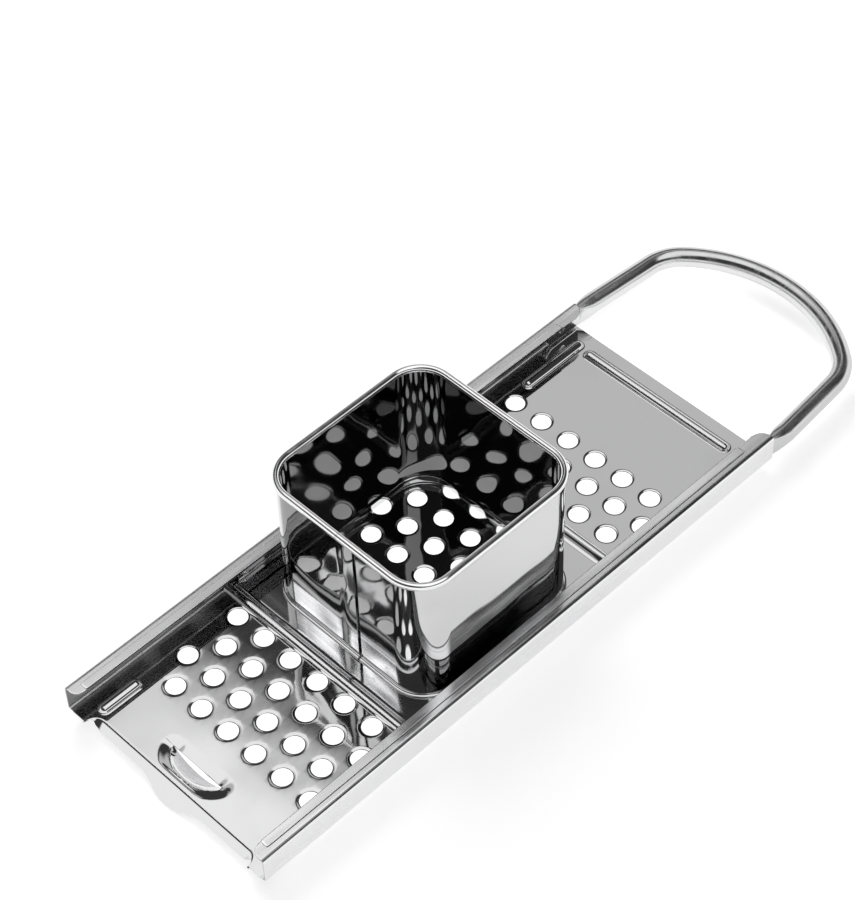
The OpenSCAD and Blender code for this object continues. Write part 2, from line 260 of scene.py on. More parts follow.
def mix_colour(tree, low, high, amount):
    made = tree.nodes.new("ShaderNodeMix")
    made.data_type = "RGBA"
    set_sockets(tree, made, {0: amount, 6: low, 7: high})
    return Socket(tree, made.outputs[2])


def new_material(name):
    """A new material, its tree and its surface shader."""
    material = bpy.data.materials.new(name)
    material.use_nodes = True
    tree = material.node_tree
    return material, tree, tree.nodes["Principled BSDF"]


def opaque(colour, share=1.0):
    return (*[c * share for c in colour], 1.0)


# ---------------------------------------------------------------- steel

# sizes of the patterns on the steel, in cells per metre
LINE_SCALE = 900.0
STREAK_SCALE = 240.0
SPOT_SCALE = 420.0
SMEAR_SCALE = 28.0
WAVE_SCALE = 46.0
LINE_DEPTH = 0.00002   # of the polishing lines, in metres
BRUSHED_FADE = 0.003   # half the width over which brushing ends, in metres
DULL_SHARE = 0.93      # brightness of smeared steel against clean steel
WELD_TINT = (0.50, 0.45, 0.38, 1.0)


def polished_steel(name, along, waves, smear=1.0, brushed=0.0, brushed_to=None, tone=1.0, toned=False):
    """Mirror-polished stainless steel with faint polishing lines, smears and a sheet's slow waves.

    Along stretches the lines where it is small, waves is the height of the slow waves in metres,
    smear scales the smears' roughness, brushed adds roughness in streaks as far back as brushed_to,
    tone scales the colour to paint a piece's steel brighter (painted highlight) or darker (painted shade),
    and toned scales it further by the painted light and painted shade stored as tones on the mesh's points.
    """
    finish = finish_settings()
    material, tree, surface = new_material(name)
    plain = object_coordinates(tree)
    lines_at = object_coordinates(tree, along)
    lines = noise(tree, lines_at, LINE_SCALE, 3.0, 0.6)
    wiped = noise(tree, plain, SMEAR_SCALE, 3.0, 0.55).smooth(0.48, 0.78)
    spots = noise(tree, plain, SPOT_SCALE, 1.0).smooth(0.70, 0.80)

    colour = mix_colour(tree, opaque(finish.steel, tone), opaque(finish.steel, tone * DULL_SHARE),
                        wiped * 0.6 + spots * 0.2)
    # Painted light and shade: the tone attribute on the mesh's points brightens or darkens the colour point
    # by point.
    if toned:
        amount = node(tree, "ShaderNodeAttribute", {"attribute_name": "tone"}, output="Fac")
        colour = node(tree, "ShaderNodeVectorMath", {"operation": "SCALE"}, colour, Scale=amount)
    rough = lines * 0.03 + wiped * (0.045 * smear) + spots * 0.03 + (finish.polish - 0.012)
    if brushed > 0.0:
        streaks = noise(tree, lines_at, STREAK_SCALE, 4.0, 0.65).smooth(0.3, 0.7)
        streaks = (streaks * 0.5 + 0.35) * brushed
        if brushed_to is not None:
            streaks = streaks * plain.part("Y").smooth(brushed_to + BRUSHED_FADE, brushed_to - BRUSHED_FADE)
        rough = rough + streaks
    waved = bump(tree, noise(tree, plain, WAVE_SCALE, 0.0), waves)
    lined = bump(tree, lines, LINE_DEPTH, 0.04, Normal=waved)
    set_sockets(tree, surface, {"Metallic": 1.0, "Base Color": colour, "Roughness": rough, "Normal": lined})
    return material


def weld_steel(name):
    """The dull, faintly heat-tinted ring of a spot weld."""
    material, tree, surface = new_material(name)
    place = object_coordinates(tree)
    grain = noise(tree, place, 1600.0, 3.0)
    tint = noise(tree, place, 350.0, 1.0).smooth(0.4, 0.7)
    colour = mix_colour(tree, opaque(finish_settings().steel), WELD_TINT, tint * 0.5)
    set_sockets(tree, surface, {"Metallic": 1.0, "Base Color": colour, "Roughness": grain * 0.2 + 0.16,
                                "Normal": bump(tree, grain, 0.00005, 0.5)})
    return material


# ---------------------------------------------------------------- shapes

def arc(cx, cy, radius, start, end, steps):
    """Points on an arc, angles in degrees."""
    turns = [math.radians(start + (end - start) * i / steps) for i in range(steps + 1)]
    return [(cx + radius * math.cos(t), cy + radius * math.sin(t)) for t in turns]


def ease(x):
    """0 to 1 and smooth at both ends."""
    x = min(max(x, 0.0), 1.0)
    return x * x * (3.0 - 2.0 * x)


def crossings(point, walls):
    """How many of the walls lie straight to the right of a point."""
    count = 0
    for a, b in walls:
        if (a.y > point.y) != (b.y > point.y):
            if a.x + (point.y - a.y) * (b.x - a.x) / (b.y - a.y) > point.x:
                count += 1
    return count


class Surface:
    """Collects grids of points in millimetres and turns them into one mesh."""

    def __init__(self):
        self.mesh = bmesh.new()

    def grid(self, rows, closed=False, looped=False):
        made = [[self.mesh.verts.new(Vector(p) * MM) for p in row] for row in rows]
        count = len(rows[0])
        last = len(rows) if looped else len(rows) - 1
        for i in range(last):
            upper = made[(i + 1) % len(rows)]
            for j in range(count if closed else count - 1):
                k = (j + 1) % count
                self.face([made[i][j], made[i][k], upper[k], upper[j]])
        return made

    def face(self, corners):
        kept = []
        for v in corners:
            if all((v.co - other.co).length > 1e-9 for other in kept):
                kept.append(v)
        if len(kept) > 2:
            self.mesh.faces.new(kept)

    def line(self, points, closed=True):
        verts = [self.mesh.verts.new(Vector(p) * MM) for p in points]
        pairs = list(zip(verts, verts[1:] + verts[:1])) if closed else list(zip(verts, verts[1:]))
        for a, b in pairs:
            self.mesh.edges.new((a, b))

    def weld(self, distance=0.002):
        bmesh.ops.remove_doubles(self.mesh, verts=self.mesh.verts, dist=distance * MM)

    def open_edges(self, height):
        """Edges on one level that bound a face on one side at most."""
        level = height * MM
        return [e for e in self.mesh.edges
                if len(e.link_faces) < 2 and all(abs(v.co.z - level) < 2e-6 for v in e.verts)]

    def fill(self, edges):
        """Fills the flat region between its outline and its holes, both given as edges."""
        verts = list({v for e in edges for v in e.verts})
        number = {v: i for i, v in enumerate(verts)}
        flat = [Vector((v.co.x, v.co.y)) / MM for v in verts]
        pairs = [(number[e.verts[0]], number[e.verts[1]]) for e in edges]
        points, _, triangles, origins, _, _ = delaunay_2d_cdt(flat, pairs, [], 1, 1e-5)
        walls = [(flat[a], flat[b]) for a, b in pairs]
        for triangle in triangles:
            centre = (points[triangle[0]] + points[triangle[1]] + points[triangle[2]]) / 3
            if crossings(centre, walls) % 2:
                self.mesh.faces.new([verts[origins[i][0]] for i in triangle])

    def turn_out(self, towards=None):
        """Makes the faces point the same way: outwards, or along a direction for an open sheet."""
        bmesh.ops.recalc_face_normals(self.mesh, faces=self.mesh.faces)
        if towards is not None:
            total = sum((f.normal * f.calc_area() for f in self.mesh.faces), Vector())
            if total.dot(Vector(towards)) < 0:
                bmesh.ops.reverse_faces(self.mesh, faces=self.mesh.faces)

    def tube(self, rings):
        """A skin through rings, with a flat face over each end."""
        made = self.grid(rings, closed=True)
        for ring in (made[0], made[-1]):
            self.mesh.faces.new(ring)
        self.turn_out()

    def make(self, name):
        made = bpy.data.meshes.new(name)
        self.mesh.to_mesh(made)
        self.mesh.free()
        piece = bpy.data.objects.new(name, made)
        bpy.context.scene.collection.objects.link(piece)
        return piece


def flatten(piece):
    """Turns a piece and its modifiers into a plain mesh."""
    bpy.context.view_layer.update()
    graph = bpy.context.evaluated_depsgraph_get()
    made = bpy.data.meshes.new_from_object(piece.evaluated_get(graph), depsgraph=graph)
    piece.modifiers.clear()
    old = piece.data
    piece.data = made
    made.name = piece.name
    if old.users == 0:
        bpy.data.meshes.remove(old)
    return piece


def side_name(side):
    return "left" if side < 0 else "right"


CUT_EDGE = 0.08        # softening of a sheet's cut edges
RAIL_EDGE = 0.12       # softening of a rail's cut edges


def soften(piece, edge):
    """Rounds the sharp edges a little and makes the piece a plain mesh."""
    bevel = piece.modifiers.new("edge", "BEVEL")
    bevel.width = edge * MM
    bevel.segments = 2
    bevel.limit_method = "ANGLE"
    bevel.angle_limit = math.radians(60)
    return flatten(piece)


def thicken(piece, sheet):
    """Gives a sheet its thickness below its top face, and softens its cut edges."""
    wall = piece.modifiers.new("wall", "SOLIDIFY")
    wall.thickness = sheet * MM
    wall.offset = -1.0
    wall.use_quality_normals = True
    return soften(piece, CUT_EDGE)


def finish_piece(piece, material, body, slot_name, *nodes, crease=35):
    """Shades a piece, gives it its material and ties it to the frame."""
    piece.data.polygons.foreach_set("use_smooth", [True] * len(piece.data.polygons))
    piece.data.set_sharp_from_angle(angle=math.radians(crease))
    normals = piece.modifiers.new("normals", "WEIGHTED_NORMAL")
    normals.keep_sharp = True
    flatten(piece)
    piece.data.materials.clear()
    piece.data.materials.append(material)
    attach(piece, body)
    if nodes:
        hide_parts(*nodes)
    return piece


def paint_light_and_shade(piece, tone):
    """Gives each point a tone, by which a toned steel scales its colour: painted light above 1, painted
    shade below 1.
    """
    marks = [float(tone(i, v.co / MM)) for i, v in enumerate(piece.data.vertices)]
    piece.data.attributes.new("tone", "FLOAT", "POINT").data.foreach_set("value", marks)


# ---------------------------------------------------------------- perforations

def geometry_tree(name, **kinds):
    """A new tree of geometry nodes, with its inputs by name."""
    tree = bpy.data.node_groups.new(name, "GeometryNodeTree")
    tree.interface.new_socket("Geometry", in_out="INPUT", socket_type="NodeSocketGeometry")
    tree.interface.new_socket("Geometry", in_out="OUTPUT", socket_type="NodeSocketGeometry")
    for key, kind in kinds.items():
        tree.interface.new_socket(key.replace("_", " "), in_out="INPUT", socket_type="NodeSocket" + kind)
    source = tree.nodes.new("NodeGroupInput")
    return tree, {out.name: Socket(tree, out) for out in source.outputs if out.name}


def close_tree(tree, geometry, steel):
    """Ends a tree in real geometry of one material."""
    real = node(tree, "GeometryNodeRealizeInstances", {}, geometry)
    done = node(tree, "GeometryNodeSetMaterial", {}, real, Material=steel)
    set_sockets(tree, tree.nodes.new("NodeGroupOutput"), {0: done})
    return tree


def set_inputs(modifier, **values):
    """Sets a modifier's inputs by their sockets' identifiers."""
    for item in modifier.node_group.interface.items_tree:
        key = item.name.replace(" ", "_")
        if item.item_type == "SOCKET" and item.in_out == "INPUT" and key in values:
            modifier[item.identifier] = values[key]


# a hole's rim, as distance out from its edge and height against the flat sheet
HOLE_RIM = ((1.7, 0.0), (1.2, -0.01), (0.8, -0.035), (0.5, -0.08), (0.25, -0.16), (0.08, -0.26), (0.0, -0.4))


def hole_tile(plate):
    """One hole with its pressed rim, on a tile that fits its neighbours in the staggered rows."""
    radius = plate.hole / 2
    half_x = plate.pitch / 2
    half_y = plate.pitch * math.sqrt(3) / 4
    points = 32
    tile = Surface()
    rings = []
    for out, drop in HOLE_RIM:
        turns = [2 * math.pi * (i + 0.5) / points for i in range(points)]
        rings.append([((radius + out) * math.cos(t), (radius + out) * math.sin(t), drop) for t in turns])
    tile.grid(rings, closed=True)
    xs = [-half_x + half_x * i / 2 for i in range(5)]
    ys = [-half_y, 0.0, half_y]
    edge = [(x, -half_y, 0) for x in xs] + [(half_x, y, 0) for y in ys[1:]]
    edge += [(x, half_y, 0) for x in xs[-2::-1]] + [(-half_x, y, 0) for y in ys[-2:0:-1]]
    tile.line(edge)
    tile.fill(tile.open_edges(0.0))
    tile.turn_out((0, 0, 1))
    return tile.make("hole_tile")


def perforation_tree():
    """Repeats a tile over staggered rows."""
    tree, inputs = geometry_tree("perforations", Tile="Object", Columns="Int", Rows="Int", Pitch="Float",
                                 Row_spacing="Float", Steel="Material")
    columns, rows, pitch = inputs["Columns"], inputs["Rows"], inputs["Pitch"]
    grid = node(tree, "GeometryNodeMeshGrid", {}, (columns - 1.0) * pitch,
                (rows - 1.0) * inputs["Row spacing"], columns, rows)
    odd = node(tree, "GeometryNodeInputIndex", {}).math("MODULO", rows).math("MODULO", 2.0)
    shift = node(tree, "ShaderNodeCombineXYZ", {}, (0.5 - odd) * pitch * 0.5)
    moved = node(tree, "GeometryNodeSetPosition", {}, grid, Offset=shift)
    tile = node(tree, "GeometryNodeObjectInfo", {}, inputs["Tile"], output="Geometry")
    copies = node(tree, "GeometryNodeInstanceOnPoints", {}, moved, Instance=tile)
    return close_tree(tree, copies, inputs["Steel"])


def perforated_field(plate, material):
    """Points and faces of the tiles of every hole, in their places on the plate."""
    tile = hole_tile(plate)
    holder = bpy.data.objects.new("hole_field", bpy.data.meshes.new("hole_field"))
    bpy.context.scene.collection.objects.link(holder)
    spacing = plate.pitch * math.sqrt(3) / 2
    modifier = holder.modifiers.new("perforations", "NODES")
    modifier.node_group = perforation_tree()
    set_inputs(modifier, Tile=tile, Columns=plate.columns, Rows=plate.rows, Pitch=plate.pitch * MM,
               Row_spacing=spacing * MM, Steel=material)
    flatten(holder)
    middle = RAIL_LOW.y + plate.first_row + spacing * (plate.rows - 1) / 2
    top = plate_top()
    field = [[(v.co.x / MM, v.co.y / MM + middle, v.co.z / MM + top) for v in holder.data.vertices],
             [tuple(p.vertices) for p in holder.data.polygons]]
    bpy.data.objects.remove(holder)
    bpy.data.objects.remove(tile)
    return field


# ---------------------------------------------------------------- plate

def plate_top():
    return RAIL_LOW.z + plate_settings().sheet


# a bead's slope in shares of its half width and height: distance out from its edge, and rise
BEAD_SLOPE = ((0.45, 0.0), (0.32, 0.0), (0.2, 0.02), (0.08, 0.09), (0.0, 0.2), (-0.06, 0.36), (-0.16, 0.55),
              (-0.3, 0.71), (-0.46, 0.84), (-0.64, 0.93), (-0.82, 0.985))


def bead_rings(length, width, height):
    """Rings of a pressed bead, from the flat sheet up to the ridge, about its middle."""
    half = width / 2
    run = length / 2 - half
    profile = [(half * out, height * rise) for out, rise in BEAD_SLOPE]
    rings = []
    for out, rise in profile:
        radius = half + out
        top = arc(0, run, radius, 0, 180, 12)
        bottom = arc(0, -run, radius, 180, 360, 12)
        rings.append([(x, y, rise) for x, y in top + bottom])
    rings.append([(0, y, height) for y in [run] * 13 + [-run] * 13])
    return rings


def place(rings, x, y, z, across=False):
    """Moves a bead's rings to its place, and turns them across the plate if asked."""
    if across:
        return [[(x + b, y - a, z + c) for a, b, c in ring] for ring in rings]
    return [[(x + a, y + b, z + c) for a, b, c in ring] for ring in rings]


HOOK_WIDTH = 30.0      # of the pot hook along its straight edge
HOOK_DEPTH = 6.4       # reach of the hook from its straight edge
HOOK_HALF = 13.6       # half the length of the hook's slot
HOOK_LIFT = 3.0        # height of the hook's turning line above the plate
HOOK_DENT = 0.5        # depth to which the press pulls the sheet down round the hook
HOOK_DENT_WIDTH = 4.6
HOOK_FLAP = 0.6        # dip of the sheet along the slot's straight edge
HOOK_FLAP_WIDTH = 5.0
HOOK_FLAP_END = 3.0    # length over which the dip fades out at each end
HOOK_PATCH = 18.6      # half the width of the patch of sheet that holds the hook
HOOK_PATCH_FRONT = 9.4
HOOK_PATCH_REAR = 7.0
HOOK_FRONT_FADE = 1.3  # width over which the dent fades out towards the patch's front


def hook_radius(h, sheet):
    """Inner radius of the pot hook's dish at distance h from its middle, about its turning line."""
    reach = HOOK_DEPTH + HOOK_LIFT
    curve = ((HOOK_WIDTH / 2) ** 2 + HOOK_DEPTH ** 2) / (2 * HOOK_DEPTH)
    return reach - curve + math.sqrt(max((curve - sheet) ** 2 - h * h, 0.0))


def outline_distance(x, y, outline):
    """Distance from a point to a line of points."""
    best = 1e9
    for (ax, ay), (bx, by) in zip(outline, outline[1:]):
        dx, dy = bx - ax, by - ay
        t = min(max(((x - ax) * dx + (y - ay) * dy) / (dx * dx + dy * dy), 0.0), 1.0)
        best = min(best, math.hypot(x - ax - t * dx, y - ay - t * dy))
    return best


def hook_height(x, y, sheet, outline, behind):
    """Height of the pressed sheet at a place measured from the middle of the slot."""
    if behind:
        away = math.hypot(HOOK_HALF - abs(x), y)
        inward = ease((HOOK_HALF - abs(x)) / HOOK_FLAP_END)
        flap = HOOK_FLAP * inward * (1.0 - ease(y / HOOK_FLAP_WIDTH))
        return -flap - HOOK_DENT * (1.0 - ease(away / HOOK_DENT_WIDTH))
    radius = hook_radius(x, sheet)
    dish = 0.0
    if abs(x) < HOOK_HALF and radius > HOOK_LIFT and abs(y) < math.sqrt(radius ** 2 - HOOK_LIFT ** 2):
        dish = HOOK_LIFT - math.sqrt(radius ** 2 - y * y)
        away = 0.0
    else:
        away = outline_distance(x, y, outline)
    edge = ease((y + HOOK_PATCH_FRONT) / HOOK_FRONT_FADE)
    return dish - HOOK_DENT * edge * (1.0 - ease(away / HOOK_DENT_WIDTH))


def hook_patch(sheet, surface, hook_y, top):
    """The pot hook: a dish pressed down from the sheet, open along the slot's straight edge."""
    outline = []
    for i in range(37):
        x = -HOOK_HALF * math.cos(math.pi * i / 36)
        radius = max(hook_radius(x, sheet), HOOK_LIFT)
        outline.append((x, -math.sqrt(radius ** 2 - HOOK_LIFT ** 2)))
    inner = [-HOOK_HALF * math.cos(math.pi * i / 60) for i in range(61)]
    outer = [HOOK_HALF + (HOOK_PATCH - HOOK_HALF) * i / 9 for i in range(1, 10)]
    xs = [-x for x in outer[::-1]] + inner + outer
    front = [-HOOK_PATCH_FRONT * (1 - i / 34) for i in range(35)]
    rear = [HOOK_PATCH_REAR * i / 16 for i in range(17)]
    for ys, behind in ((front, False), (rear, True)):
        rows = []
        for y in ys:
            row = []
            for x in xs:
                border = abs(x) == HOOK_PATCH or y in (-HOOK_PATCH_FRONT, HOOK_PATCH_REAR)
                height = 0.0 if border else hook_height(x, y, sheet, outline, behind)
                row.append((x, hook_y + y, top + height))
            rows.append(row)
        surface.grid(rows)


LIP_LENGTH = 3.7       # of the front lip's slope, away from its tab
TAB_LENGTH = 8.5       # of the slope in the middle of the tab
TAB_WIDTH = 35.0
LIP_SETBACK = 6.0      # from the plate's front edge to the start of the lip's bend
LIP_SLOPE = math.radians(48)
LIP_CORNER = 5.5       # length over which each end of the lip runs out to the plate's front edge
LIP_END_SHARE = 0.12   # of its slope and length that the lip keeps at its very ends
LIP_STRIP = 0.6        # flat strip behind the lip's bend


def lip_length(x):
    """Length of the front lip's slope: a half-moon tab in the middle of a plain strip."""
    blend = TAB_WIDTH / 4
    drop = TAB_LENGTH - LIP_LENGTH
    radius = (blend ** 2 + (drop / 2) ** 2) / drop
    d = abs(x)
    if d > 2 * blend:
        return LIP_LENGTH
    if d > blend:
        return LIP_LENGTH + radius - math.sqrt(max(radius ** 2 - (2 * blend - d) ** 2, 0.0))
    return TAB_LENGTH - radius + math.sqrt(max(radius ** 2 - d * d, 0.0))


def lip_stations(half):
    """Places along the lip, close together at its ends."""
    middle = half - LIP_CORNER
    ends = [middle + LIP_CORNER * math.sin(math.pi / 2 * i / 12) for i in range(1, 13)]
    return [-x for x in ends[::-1]] + [middle * (i / 30 - 1) for i in range(61)] + ends


def front_lip_rows(plate, xs, front, top):
    """Rows of the front lip, from the flat plate round the bend and down the slope."""
    outer = plate.bend + plate.sheet
    half = xs[-1]
    rows = [[] for _ in range(16)]
    for x in xs:
        near = min((half - abs(x)) / LIP_CORNER, 1.0)
        start = front + LIP_SETBACK * math.sqrt(max(1.0 - (1.0 - near) ** 2, 0.0))
        share = LIP_END_SHARE + (1.0 - LIP_END_SHARE) * ease(near)
        slope = LIP_SLOPE * share
        length = lip_length(x) * share
        rows[0].append((x, start + LIP_STRIP, top))
        for i in range(9):
            t = slope * i / 8
            rows[i + 1].append((x, start - outer * math.sin(t), top - outer * (1 - math.cos(t))))
        end_y = start - outer * math.sin(slope)
        end_z = top - outer * (1 - math.cos(slope))
        for k in range(1, 7):
            run = length * k / 6
            rows[k + 9].append((x, end_y - run * math.cos(slope), end_z - run * math.sin(slope)))
    return rows


RAIL_FOOT = 3.0        # from the outside of a rail to where its floor strip meets the plate
LIP_END_GAP = 9.7      # from the outside of a rail to the front lip's end
HOOK_GAP = 16.5        # from the plate's front edge to the slot's straight edge
BEAD_INSET = 10.7      # from the outside of a rail to a stop bead's middle
FRONT_BEAD_GAP = 6.8   # from the plate's front edge to a front stop bead
FRONT_BEAD_LENGTH = 20.0
REAR_BEAD_GAP = 6.0    # from the plate's rear edge to a rear stop bead
REAR_BEAD_LENGTH = 35.0
CROSS_BEAD_GAP = 9.0   # from the plate's rear edge to the cross bead's middle
CROSS_BEAD_LENGTH = 79.0
BEAD_RISE = 0.45       # height of a bead as a share of its width


def plate_sheet(plate, material):
    """The perforated floor with its beads, pot hook and front lip, as one sheet."""
    top = plate_top()
    front, rear = RAIL_LOW.y, RAIL_HIGH.y
    edge = RAIL_HIGH.x - RAIL_FOOT
    lip_half = RAIL_HIGH.x - LIP_END_GAP
    height = plate.bead * BEAD_RISE
    sheet = Surface()
    points, faces = perforated_field(plate, material)
    verts = [sheet.mesh.verts.new(Vector(p) * MM) for p in points]
    for f in faces:
        sheet.mesh.faces.new([verts[i] for i in f])

    stops = ((FRONT_BEAD_LENGTH, front + FRONT_BEAD_GAP + FRONT_BEAD_LENGTH / 2),
             (REAR_BEAD_LENGTH, rear - REAR_BEAD_GAP - REAR_BEAD_LENGTH / 2))
    for side in (-1, 1):
        for length, middle in stops:
            rings = bead_rings(length, plate.bead, height)
            sheet.grid(place(rings, side * (RAIL_HIGH.x - BEAD_INSET), middle, top), closed=True)
    cross = bead_rings(CROSS_BEAD_LENGTH, plate.bead, height)
    sheet.grid(place(cross, 0, rear - CROSS_BEAD_GAP, top, across=True), closed=True)

    hook_patch(plate.sheet, sheet, front + HOOK_GAP, top)
    sheet.grid(front_lip_rows(plate, lip_stations(lip_half), front, top))
    sheet.line([(-lip_half, front, top), (-edge, front, top), (-edge, rear, top), (edge, rear, top),
                (edge, front, top), (lip_half, front, top)], closed=False)
    sheet.weld()
    sheet.fill(sheet.open_edges(top))
    sheet.turn_out((0, 0, 1))
    piece = sheet.make("plate_sheet")
    thicken(piece, plate.sheet)
    return finish_piece(piece, material, "plate", "plate_steel", "grater_plate")


LIP_FRONT_RADIUS = 4.0   # of the rail lips' rounded corners
LIP_REAR_RADIUS = 6.0
LIP_PAINTED_LIGHT = 1.45        # painted highlight: the lips are painted brighter than the plate's steel
# painted light: the rail's outer wall is painted brighter than the plate's steel
RAIL_PAINTED_LIGHT = 1.25
CHANNEL_PAINTED_SHADE = 0.45    # painted shade: the inside of a rail is painted darker
# where the rail has its cross sections, along a rail 280 mm long
RAIL_STATIONS = (0, 0.3, 1, 2, 4, 8, 20, 60, 120, 200, 240, 265, 275, 278, 279, 279.7, 280)


def rail_section(plate, half_width, lip_edge):
    """The rail's section as outer and inner points, from the floor strip to the lip's edge."""
    outer_bend = plate.bend + plate.sheet
    foot = half_width - RAIL_FOOT
    bend_x = half_width - outer_bend
    high = plate.rail_height - outer_bend
    lip = [bend_x + (lip_edge - bend_x) * i / 10 for i in range(1, 11)]
    sides = []
    for radius, below in ((outer_bend, plate.sheet), (plate.bend, 0.0)):
        side = [(foot, -below)] + arc(bend_x, plate.bend, radius, -90, 0, 10)
        side += arc(bend_x, high, radius, 0, 90, 10)
        sides.append(side + [(x, high + radius) for x in lip])
    return sides


def corner_setback(x, lip_edge, radius):
    """How far a rounded corner holds the lip's end back at x."""
    d = x - lip_edge
    if d >= radius:
        return 0.0
    return radius - math.sqrt(max(radius ** 2 - (radius - d) ** 2, 0.0))


def rail(plate, side, material):
    """One folded rail with rounded lip corners."""
    half_width, lip_edge = RAIL_HIGH.x, RAIL_LOW.x
    front, rear, top = RAIL_LOW.y, RAIL_HIGH.y, plate_top()
    outer, inner = rail_section(plate, half_width, lip_edge)
    outline = [(x, z, z > plate.rail_height / 2) for x, z in outer + inner[::-1]]
    total = RAIL_STATIONS[-1]
    rows = []
    for s in RAIL_STATIONS:
        row = []
        for x, z, on_lip in outline:
            start = front + (corner_setback(x, lip_edge, LIP_FRONT_RADIUS) if on_lip else 0.0)
            end = rear - (corner_setback(x, lip_edge, LIP_REAR_RADIUS) if on_lip else 0.0)
            row.append((side * x, start + (end - start) * s / total, top + z))
        rows.append(row)
    strip = Surface()
    made = strip.grid(rows, closed=True)
    count = len(outline)
    for ring in (made[0], made[-1]):
        for j in range(len(outer) - 1):
            strip.face([ring[j], ring[j + 1], ring[count - 2 - j], ring[count - 1 - j]])
    strip.weld()
    strip.turn_out()
    piece = strip.make(side_name(side) + "_rail_fold")
    soften(piece, RAIL_EDGE)

    # Painted light on the lips and outer walls, painted shade inside the channel.
    def tone(_, co):
        if co.z > top + plate.rail_height - 0.05:
            return LIP_PAINTED_LIGHT
        inside = abs(co.x) < half_width - plate.sheet / 2 and co.z > top + 0.5
        return CHANNEL_PAINTED_SHADE if inside else RAIL_PAINTED_LIGHT

    paint_light_and_shade(piece, tone)
    return finish_piece(piece, material, "plate", "plate_steel", side_name(side) + "_rail")


HEM_FRONT_GAP = 5.0    # bare lip ahead of the hem
HEM_REAR_GAP = 14.0    # bare lip behind the hem
HEM_SHADE_STRIP = 0.26      # width of the strip of painted shade along the hem's foot
# painted shade: the hem's foot is painted dark where the fold meets the lip
HEM_PAINTED_SHADE = 0.1
# a hem's end: distance from it, share of the hem's width, share of its height
HEM_END = ((0.0, 0.62, 0.3), (0.1, 0.78, 0.75), (0.35, 0.9, 1.0), (0.8, 0.97, 1.0), (1.5, 1.0, 1.0))


def hem(plate, side, material):
    """The lip's folded hem: a low strip with round edges, rounded ends and a strip of painted shade along
    its foot.
    """
    front, rear = RAIL_LOW.y + HEM_FRONT_GAP, RAIL_HIGH.y - HEM_REAR_GAP
    base = plate_top() + plate.rail_height
    rise = RAIL_HIGH.z - base
    half = plate.hem / 2
    middle = RAIL_LOW.x + half
    soft = rise * 0.35
    stations = [(front + s, w, h) for s, w, h in HEM_END]
    stations += [(front + (rear - front) * i / 10, 1.0, 1.0) for i in range(1, 10)]
    stations += [(rear - s, w, h) for s, w, h in HEM_END[::-1]]
    rows = []
    for y, wide, high in stations:
        reach = half * wide
        row = [(-reach - HEM_SHADE_STRIP, -0.1), (-reach - HEM_SHADE_STRIP, 0.03), (-reach, 0.04)]
        row += [(x, z * high) for x, z in arc(-reach + soft, rise - soft, soft, 180, 90, 5)]
        row += [(x, z * high) for x, z in arc(reach - soft, rise - soft, soft, 90, 0, 5)]
        row += [(reach, 0.04), (reach + HEM_SHADE_STRIP, 0.03), (reach + HEM_SHADE_STRIP, -0.1)]
        rows.append([(side * (middle + x), y, base + z) for x, z in row])
    strip = Surface()
    strip.tube(rows)
    piece = strip.make(side_name(side) + "_hem")
    # Painted shade along the hem's foot, painted highlight on its top.
    paint_light_and_shade(piece, lambda _, co: HEM_PAINTED_SHADE if co.z < base + 0.05 else LIP_PAINTED_LIGHT)
    return finish_piece(piece, material, "plate", "plate_steel")


class SPAETZLE_OT_plate(bpy.types.Operator):
    """Builds the perforated plate, its two rails and their hems"""
    bl_idname = "spaetzle.plate"
    bl_label = "Grater plate"

    def execute(self, context):
        plate = plate_settings()
        lengthwise = (1.0, 0.05, 1.0)
        folded = polished_steel("rail_steel", lengthwise, waves=0.00003, brushed=0.3, toned=True)
        shaded_hem_steel = polished_steel("hem_steel", lengthwise, waves=0.00002, brushed=0.3, toned=True)
        plate_sheet(plate, polished_steel("plate_steel", lengthwise, waves=0.00012))
        for side in (-1, 1):
            rail(plate, side, folded)
            hem(plate, side, shaded_hem_steel)
        return {"FINISHED"}


# ---------------------------------------------------------------- handle

def bow_path(bar):
    """Centre line of the right half of the bow, from the neck to the middle of the grip."""
    tongue_x = RAIL_HIGH.x - plate_settings().sheet - bar.flat / 2
    apex = HANDLE_HIGH.y - bar.tube / 2
    root_y = RAIL_HIGH.y + bar.neck
    bow_y = apex - bar.bow
    root = root_y - bow_y
    lean = tongue_x * math.cos(bar.splay) + root * math.sin(bar.splay)
    turn = math.asin((lean - bar.corner) / (bar.bow - bar.corner)) - bar.splay
    centre = ((bar.bow - bar.corner) * math.sin(turn), (bar.bow - bar.corner) * math.cos(turn))
    top = (centre[0] + bar.corner * math.cos(bar.splay), centre[1] + bar.corner * math.sin(bar.splay))
    points = []
    for i in range(13):
        t = i / 12
        points.append((tongue_x + (top[0] - tongue_x) * t, root + (top[1] - root) * t))
    a, b = math.degrees(bar.splay), 90 - math.degrees(turn)
    points += arc(*centre, bar.corner, a, b, 20)[1:]
    points += arc(0, 0, bar.bow, b, 90, 32)[1:]
    return [(x, y + bow_y) for x, y in points], tongue_x, root_y


FLAT_POWER = 5         # squareness of the flattened end's section; a round one has 2
ROUND_POWER = 2
# where the flattened end's rounded tip has its cross sections, from its very end
TIP_STATIONS = (0.02, 0.2, 0.6, 1.2, 2.0, 3.0, 4.0, 4.9)
TIP_SHARE = 0.8        # of its thickness that the tip keeps at its very end
FLAT_GAP = 6.0         # from the plate's rear edge forward to the flattened end's last plain section
NECK_LEAD = 0.5        # length of the taper inside the rail
NECK_GAP = 0.1         # from the taper's last ring to the arm's first


